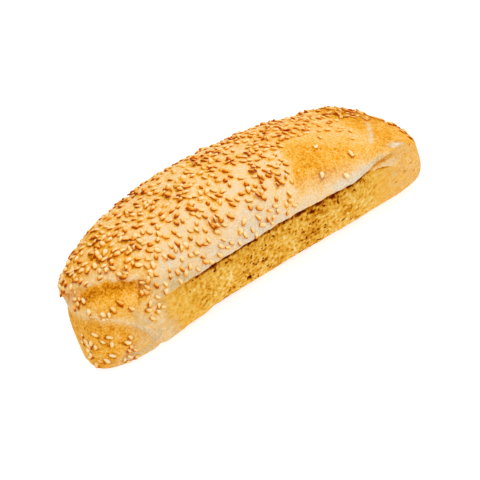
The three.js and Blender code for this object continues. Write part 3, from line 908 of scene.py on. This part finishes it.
# Stray seeds: place along the loaf and angle round it
STRAY_SEEDS = np.array([(33.3, 1.04), (51.6, 1.04), (44.4, 0.71), (26.6, 0.5), (30.2, 0.42), (37.0, 0.27)])
SEED_STREAM = {
    "wanted": 1, "turn": 2, "pitch": 3, "yaw": 4, "size": 5, "width": 6, "lift": 7, "burnt": 8, "flip": 9,
    "clump": 11, "clump_way": 12, "along": 21, "around": 22,
}
CLUMP_SHARE = 0.12
CLUMP_EXTRAS = 2
CLUMP_REACH = 1.9
CLUMP_FROM_ANGLE = 0.25
CLUMP_LAST_STATION = 0.999

# How thickly seeds lie: by the angle round the loaf, the place along it and the height
SEEDED_FRONT = (0.0, 0.08)
SEEDED_BACK = (math.pi + 0.75, math.pi - 0.1)
UNDER_LIP_REACH = 0.5
UNDER_LIP_X = (-50.0, -60.0)
FRONT_SHARE = 0.68
CROWN_SHARE = 0.32
CROWN_ANGLE = (0.5, 1.2)
NEAR_SHARE = 0.2
NEAR_SHARE_X = (-40.0, -64.0)
FAR_THINNING = 0.4
FAR_THINNING_X = (25.0, 55.0)
BARE_X = (4.0, 12.0)
BARE_SLANT = 9.0
BARE_ANGLE = (1.45, 1.2)
BARE_FAR_REACH = 0.3
BARE_FAR_X = (54.0, 60.0)
BARE_WOBBLE = {"angle": 0.2, "along_wave": 1.3, "across_wave": 1.1}
FAR_SHARE = 0.7
FAR_SHARE_X = (75.0, 79.0)
FAR_SHARE_ANGLE = (0.5, 0.8)
LOBE_X = (-56.0, -64.0)
LOBE_EDGE = (3.0, 1.0)
ROW = {"share": 0.8, "height": 33.0, "x": -80.0, "slope": -0.38, "below": 2.6, "above": 2.2}
LOW_SHARE = 0.9
LOW_EDGE = (-5.0, -9.0)
LOW_HEIGHT = (1.0, 4.0)
LOW_X = (-64.0, -72.0)
LOBE_FRONT_Y = (-4.0, -13.0)
LOBE_BACK_SHARE = 0.5
LOBE_BACK_Y = (8.0, 16.0)


def seed_density(points, angle):
    """How thickly seeds lie, from 0 to 1: full over the crown, none on the bare patch, rows on the lobes."""
    x, y, z = np.moveaxis(points, -1, 0)
    reach = angle + UNDER_LIP_REACH * smooth(UNDER_LIP_X, x)
    over = smooth(SEEDED_FRONT, reach) * smooth(SEEDED_BACK, angle)
    share = FRONT_SHARE + CROWN_SHARE * smooth(CROWN_ANGLE, angle) + NEAR_SHARE * smooth(NEAR_SHARE_X, x)
    thick = np.minimum(share, 1) * (1 - FAR_THINNING * smooth(FAR_THINNING_X, x))
    far = FAR_SHARE * smooth(FAR_SHARE_X, x) * smooth(FAR_SHARE_ANGLE, angle)
    wobble = np.sin(x / BARE_WOBBLE["along_wave"]) * np.cos(y / BARE_WOBBLE["across_wave"])
    bare_edge = angle - BARE_FAR_REACH * smooth(BARE_FAR_X, x) + BARE_WOBBLE["angle"] * wobble
    bare = smooth(BARE_X, x - BARE_SLANT * angle) * smooth(BARE_ANGLE, bare_edge) * (1 - far)
    lobes = smooth(LOBE_X, x) * smooth(LOBE_EDGE, z - fold_level(UPPER_FOLD, x, y))
    row = ROW["share"] * bell(z - ROW["height"] - ROW["slope"] * (x - ROW["x"]), ROW["below"], ROW["above"])
    low = LOW_SHARE * smooth(LOW_EDGE, z - fold_level(LOWER_FOLD, x, y))
    on_lobes = row + low * smooth(LOW_HEIGHT, z) * smooth(LOW_X, x)
    sides = smooth(LOBE_FRONT_Y, y) + LOBE_BACK_SHARE * smooth(LOBE_BACK_Y, y)
    return over * thick * (1 - bare) * (1 - lobes) + on_lobes * sides * lobes


def spread_out(points, wanted, spacing, most, kept):
    """Picks candidates in turn that keep the spacing from all picked so far, up to that many."""
    for number in np.flatnonzero(wanted):
        if len(kept) >= most:
            break
        if not kept or np.min(np.linalg.norm(points[kept] - points[number], axis=-1)) >= spacing:
            kept.append(int(number))
    return kept


strays = len(STRAY_SEEDS)
all_candidates = EVEN_CANDIDATES + LOOSE_CANDIDATES
candidate = np.concatenate([-np.arange(strays), np.arange(1, all_candidates + 1)])
even = candidate <= EVEN_CANDIDATES
share_along = np.where(even, (candidate * ALONG_STEP) % 1, draw(candidate, SEED_STREAM["along"]))
share_around = np.where(even, (candidate * AROUND_STEP) % 1, draw(candidate, SEED_STREAM["around"]))
tried_station = station_at(SEED_REACH * (2 * share_along - 1))
tried_angle = SEED_ANGLES[0] + (SEED_ANGLES[1] - SEED_ANGLES[0]) * share_around
tried_station[:strays] = STRAY_SEEDS[:, 0] / (LENGTH / 2)
tried_angle[:strays] = STRAY_SEEDS[:, 1]
tried_point = loaf_surface(tried_station, tried_angle)
wanted = draw(candidate, SEED_STREAM["wanted"]) <= seed_density(tried_point, tried_angle)
wanted = wanted | (candidate <= 0)
kept = spread_out(tried_point, wanted & even, FIRST_SPACING, FIRST_SEEDS, [])
kept = np.array(spread_out(tried_point, wanted & ~even, LOOSE_SPACING, all_candidates, kept))

starts_clump = draw(candidate[kept], SEED_STREAM["clump"]) < CLUMP_SHARE
starts_clump = starts_clump & (candidate[kept] > 0) & (tried_angle[kept] > CLUMP_FROM_ANGLE)
first_of_clump = np.tile(kept[starts_clump], CLUMP_EXTRAS)
extra_number = all_candidates + np.arange(1, len(first_of_clump) + 1)
clump_way = 2 * math.pi * draw(extra_number, SEED_STREAM["clump_way"])
extra_station = tried_station[first_of_clump] + CLUMP_REACH * np.cos(clump_way) / (LENGTH / 2)
extra_station = np.clip(extra_station, -CLUMP_LAST_STATION, CLUMP_LAST_STATION)
extra_angle = tried_angle[first_of_clump] + CLUMP_REACH * np.sin(clump_way) / (WIDTH / 2)
seed_number = np.concatenate([candidate[kept], extra_number])
seed_station = np.concatenate([tried_station[kept], extra_station])
seed_angle = np.concatenate([tried_angle[kept], extra_angle])
seed_point = loaf_surface(seed_station, seed_angle)
seed_x = seed_point[:, 0]
on_top = seed_number > all_candidates
in_clump = np.concatenate([starts_clump, np.ones(len(extra_number), dtype=bool)])


# Sesame seeds, their shape
# Flat drops, blunt at one end, half sunk in the crust. They point up and down the front
# and every way on the crown, and those in a clump lean on each other.

SEED_LENGTH = 3.1
SEED_WIDTH = 2.15
SEED_THICKNESS = 1.15
SMALLEST_SEED = 0.82
SIZE_RANGE = 0.32
NARROWEST_SEED = 0.86
WIDTH_RANGE = 0.28
SEED_SIDES = 8
SEED_BANDS = 6
SEED_BLUNTNESS = 0.8
SEED_TAPER = 0.36
SEED_TURN = math.pi / 2 + 0.25
FRONT_SPREAD = 0.55 * math.pi
CROWN_SPREAD = 0.45 * math.pi
PITCH = {"stream": "pitch", "alone": 0.35, "clump": 0.9}
YAW = {"stream": "yaw", "alone": 0.6, "clump": 1.0}
SEED_LIFT = 0.22
ON_TOP_LIFT = 0.4
SMALL_STEP = 1e-4


def seed_form(band, side):
    """One seed of unit size: a flattened drop, sine-shaped along its length and narrower to its tip."""
    lengthwise = -np.cos(band) / 2
    girth = np.sin(band) ** SEED_BLUNTNESS * (1 - SEED_TAPER * (0.5 + lengthwise)) / 2
    ring_points = np.stack([lengthwise, -girth * np.cos(side), girth * np.sin(side)], axis=-1)
    return np.concatenate([ring_points.reshape(-1, 3), [[-0.5, 0, 0], [0.5, 0, 0]]])


def seed_slope(station_step, angle_step):
    """Slope of the crust under each seed: the difference of its points a small step to either side."""
    after = loaf_surface(seed_station + station_step, seed_angle + angle_step)
    before = loaf_surface(seed_station - station_step, seed_angle - angle_step)
    return after - before


def drawn(name):
    """Draw from 0 to 1 for each seed, from the stream of that name."""
    return draw(seed_number, SEED_STREAM[name])


def seed_lean(lean):
    """Slope of each seed either way, steeper in a clump."""
    return ((lean["alone"] + lean["clump"] * in_clump) * (drawn(lean["stream"]) - 0.5))[:, None]


band_angle = np.linspace(0, math.pi, SEED_BANDS + 1)[1:-1]
side_angle = np.linspace(0, 2 * math.pi, SEED_SIDES, endpoint=False)
unit_seed = seed_form(*np.meshgrid(band_angle, side_angle, indexing="ij"))

along = unit(seed_slope(SMALL_STEP, 0))
up = unit(np.cross(along, seed_slope(0, SMALL_STEP)))
across = np.cross(up, along)
spread = FRONT_SPREAD + CROWN_SPREAD * smooth(CROWN_ANGLE, seed_angle)
turn = SEED_TURN + spread * (drawn("turn") - 0.5) + math.pi * (drawn("flip") < 0.5)
level_heading = along * np.cos(turn)[:, None] + across * np.sin(turn)[:, None]
level_sideways = np.cross(up, level_heading)
seed_up = unit(up + seed_lean(PITCH) * level_heading + seed_lean(YAW) * level_sideways)
heading = unit(level_heading - seed_up * np.sum(level_heading * seed_up, axis=-1, keepdims=True))
sideways = np.cross(seed_up, heading)

size = SMALLEST_SEED + SIZE_RANGE * drawn("size")
length = SEED_LENGTH * size
width = SEED_WIDTH * size * (NARROWEST_SEED + WIDTH_RANGE * drawn("width"))
thickness = SEED_THICKNESS * size
centre = seed_point + up * (SEED_LIFT * drawn("lift") + ON_TOP_LIFT * on_top)[:, None]
axes = np.stack([heading * length[:, None], sideways * width[:, None], seed_up * thickness[:, None]], axis=1)
seed_offset = unit_seed @ axes
seed_points = (seed_offset + centre[:, None]).reshape(-1, 3)

per_seed = len(unit_seed)
corner = np.arange(SEED_SIDES)
next_corner = (corner + 1) % SEED_SIDES
last_ring = (SEED_BANDS - 2) * SEED_SIDES
blunt_end = np.full(SEED_SIDES, per_seed - 2)
blunt_fan = np.stack([blunt_end, corner, next_corner], axis=-1)
pointed_fan = np.stack([last_ring + corner, blunt_end + 1, last_ring + next_corner], axis=-1)
first_points = per_seed * np.arange(len(seed_number))[:, None, None]
seed_quads = (first_points + ring_faces(SEED_BANDS - 1, SEED_SIDES)).reshape(-1, 4)
seed_fans = (first_points + np.concatenate([blunt_fan, pointed_fan])).reshape(-1, 3)
seed_faces = seed_quads.tolist() + seed_fans.tolist()


# Sesame seeds, their toasting
# Ivory seeds toasted to brown in the oven, darker round the rim partly by toasting and partly
# as painted shade, and darker on the side away from the light as painted shade. The crust round
# each seed is darker in a ring, a painted shadow over a faint browning, heaviest on that side.

# Way that points away from the light: the sides of the seeds that face it get painted shade
SHADED_SIDE_WAY = np.array([-0.75, -0.15, -0.65])
TOAST = {"even": 0.2, "near_end": -0.05, "clump": 0.12}
PALE_NEAR_X = (-40.0, -60.0)
BURNT = {"from": 0.72, "sooner": 0.26, "sooner_angle": (0.25, 0.9), "most": 0.48, "spread": 0.8}
BURNT_LESS = 0.6
BURNT_LESS_X = (0.0, 45.0)
STRAY_TOAST = 0.3
STRAY_CRESCENT = 0.6
SHADED_SIDE_RUN = (-0.5, 0.5)
LIT_SIDE_TOAST = 0.5
SHADED_SIDE_TOAST = 0.6
RIM_SHARPNESS = 1.5
LIT_SIDE_RIM = 0.12
CRESCENT_LESS = 0.25
CRESCENT_LESS_ANGLE = (0.9, 1.5)
CRESCENT_LESS_X = (-10.0, 40.0)
HALO_ROWS = np.arange(-12, 13)
HALO = {"ring": 1.05, "inner": 0.5, "outer": 0.4, "lit_side": 0.2, "shade_run": (-0.1, 0.8)}

strewn = seed_number > 0
shaded_way = unit(SHADED_SIDE_WAY - up * np.sum(SHADED_SIDE_WAY * up, axis=-1, keepdims=True))
shaded_side = smooth(SHADED_SIDE_RUN, np.sum(unit(seed_offset) * shaded_way[:, None], axis=-1))
burnt_from = BURNT["from"] - BURNT["sooner"] * smooth(BURNT["sooner_angle"], seed_angle)
burnt_share = np.clip((drawn("burnt") - burnt_from) / (1 - burnt_from), 0, 1)
burnt = BURNT["most"] * burnt_share ** BURNT["spread"] * (1 - BURNT_LESS * smooth(BURNT_LESS_X, seed_x))
toast_by_place = TOAST["even"] + TOAST["near_end"] * smooth(PALE_NEAR_X, seed_x) + TOAST["clump"] * in_clump
toast = (toast_by_place + burnt) * np.where(strewn, 1, STRAY_TOAST)
# Painted shade: each seed's toast is raised on the side away from the light
seed_toast_and_shade = toast[:, None] * (LIT_SIDE_TOAST + SHADED_SIDE_TOAST * shaded_side)

# The rim darkens partly by toasting and partly as painted shade, most on the side away from the light
rim = (1 - np.clip(2 * unit_seed[:, 2], 0, 1)) ** RIM_SHARPNESS
paling = smooth(CRESCENT_LESS_ANGLE, seed_angle) + smooth(CRESCENT_LESS_X, seed_x)
strength = (1 - CRESCENT_LESS * paling) * np.where(strewn, 1, STRAY_CRESCENT)
rim_toast_and_shade = strength[:, None] * rim * (LIT_SIDE_RIM + (1 - LIT_SIDE_RIM) * shaded_side)

# Halo: painted shadow on the crust round each seed, heaviest on the side away from the light, over a faint
# browned ring all round
halo = np.zeros(skin.shape[:2])
row_of_seed = np.searchsorted(stations, seed_station)
column_of_seed = np.searchsorted(angles, seed_angle % (2 * math.pi))
for row, column, place, ahead, aside, shade_way_here, half_length, half_wide in zip(
    row_of_seed, column_of_seed, seed_point, heading, sideways, shaded_way, length / 2, width / 2,
):
    rows = np.clip(row + HALO_ROWS, 0, len(stations) - 1)
    window = np.ix_(rows, (column + HALO_ROWS) % len(angles))
    offset = skin[window] - place
    ring = np.hypot(offset @ ahead / half_length, offset @ aside / half_wide)
    seed_shadow_weight = HALO["lit_side"] + (1 - HALO["lit_side"]) * smooth(HALO["shade_run"], unit(offset) @ shade_way_here)
    halo[window] = np.maximum(halo[window], seed_shadow_weight * bell(ring - HALO["ring"], HALO["inner"], HALO["outer"]))
set_values(loaf.data, {"halo": halo})

SEED_RUN = (
    (0.0, shown(255, 238, 196)),
    (0.24, shown(254, 218, 148)),
    (0.46, shown(251, 186, 78)),
    (0.66, shown(238, 138, 20)),
    (0.86, shown(206, 92, 0)),
    (1.0, shown(172, 68, 0)),
)
SEED_ROUGHNESS = 0.5
SEED_SHINE = 0.04
CRESCENT_TONE = 1.05
SEED_MOTTLE = {"size": 1.2, "detail": 2.0, "strength": 0.3}
seed_material, tree, shader = new_material("sesame", SEED_ROUGHNESS, SEED_SHINE)
# Seed colour: toast with painted shade on the side away from the light, and a rim darkened partly by
# toasting, partly as painted shade
toasted = combined(tree, "MULTIPLY_ADD", attribute(tree, "rim_toast_and_shade"), CRESCENT_TONE, attribute(tree, "toast"))
seed_colour = colour_run(tree, mottled(tree, toasted, SEED_MOTTLE, True), SEED_RUN)
tree.links.new(seed_colour, shader.inputs["Base Color"])
seeds = add_piece("sesame_seeds", seed_points, seed_faces, seed_material)
set_values(seeds.data, {"toast": seed_toast_and_shade, "rim_toast_and_shade": rim_toast_and_shade})
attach(seeds, "root")
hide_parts("bun")


# Floor and light
# A plain white studio: a wide matt floor, an even pale surround, a broad soft light
# overhead and a smaller one from the far end's side.

FLOOR_SIDE = 6.0
FLOOR_GREY = 0.35
FLOOR_GLOW = 0.8
FLOOR_ROUGHNESS = 0.9
FLOOR_SHINE = 0.1
WHITE = (1.0, 1.0, 1.0, 1.0)
SURROUND_STRENGTH = 0.64
LIT_POINT = (0.0, 0.0, 0.02)
OVERHEAD_LIGHT = {"place": (0.0, -0.2, 0.82), "side": 0.8, "power": 2.8}
SIDE_LIGHT = {"place": (0.4, -0.1, 0.5), "side": 0.15, "power": 0.5}


def add_soft_light(name, place, side, power):
    """Square area light at a place in metres, turned to the loaf."""
    light = bpy.data.lights.new(name, "AREA")
    light.size = side
    light.energy = power
    lamp = bpy.data.objects.new(name, light)
    lamp.location = place
    lamp.rotation_euler = (Vector(LIT_POINT) - Vector(place)).to_track_quat("-Z", "Y").to_euler()
    bpy.context.collection.objects.link(lamp)


half_side = FLOOR_SIDE / 2
floor_material, tree, shader = new_material("white_floor", FLOOR_ROUGHNESS, FLOOR_SHINE)
shader.inputs["Base Color"].default_value = (FLOOR_GREY, FLOOR_GREY, FLOOR_GREY, 1.0)
shader.inputs["Emission Color"].default_value = WHITE
shader.inputs["Emission Strength"].default_value = FLOOR_GLOW
floor_mesh = bpy.data.meshes.new("floor")
floor_corners = [(sx * half_side, sy * half_side, 0) for sx, sy in ((-1, -1), (1, -1), (1, 1), (-1, 1))]
floor_mesh.from_pydata(floor_corners, [], [(0, 1, 2, 3)])
floor_mesh.materials.append(floor_material)
floor = bpy.data.objects.new("floor", floor_mesh)
bpy.context.collection.objects.link(floor)

surround = bpy.data.worlds.new("surround")
surround.use_nodes = True
surround.node_tree.nodes["Background"].inputs["Color"].default_value = WHITE
surround.node_tree.nodes["Background"].inputs["Strength"].default_value = SURROUND_STRENGTH
bpy.context.scene.world = surround
add_soft_light("overhead_light", **OVERHEAD_LIGHT)
add_soft_light("side_light", **SIDE_LIGHT)


# Camera
# It looks down on the front from the near end's side, rolled a little, so that the
# far end rises to the right.

AZIMUTH = math.radians(-28.0)
ELEVATION = math.radians(36.0)
ROLL = math.radians(-13.79)
DISTANCE = 0.42
TARGET = Vector((-0.0044, -0.002, 0.01147))
SENSOR = 36.0
IMAGE_SIDE = 480
PIXELS_PER_METRE = 2345.0
NEAREST = 0.01
back = Vector((
    math.sin(AZIMUTH) * math.cos(ELEVATION), -math.cos(AZIMUTH) * math.cos(ELEVATION), math.sin(ELEVATION),
))
level_right = Vector((math.cos(AZIMUTH), math.sin(AZIMUTH), 0))
level_up = back.cross(level_right)
right = math.cos(ROLL) * level_right + math.sin(ROLL) * level_up
image_up = back.cross(right)
camera_data = bpy.data.cameras.new("camera")
camera_data.sensor_width = SENSOR
camera_data.lens = PIXELS_PER_METRE * DISTANCE / IMAGE_SIDE * SENSOR
camera_data.clip_start = NEAREST
camera = bpy.data.objects.new("camera", camera_data)
turned = Matrix((right, image_up, back)).transposed().to_4x4()
camera.matrix_world = Matrix.Translation(TARGET + back * DISTANCE) @ turned
bpy.context.collection.objects.link(camera)
bpy.context.scene.camera = camera
bpy.context.scene.view_settings.view_transform = "Standard"
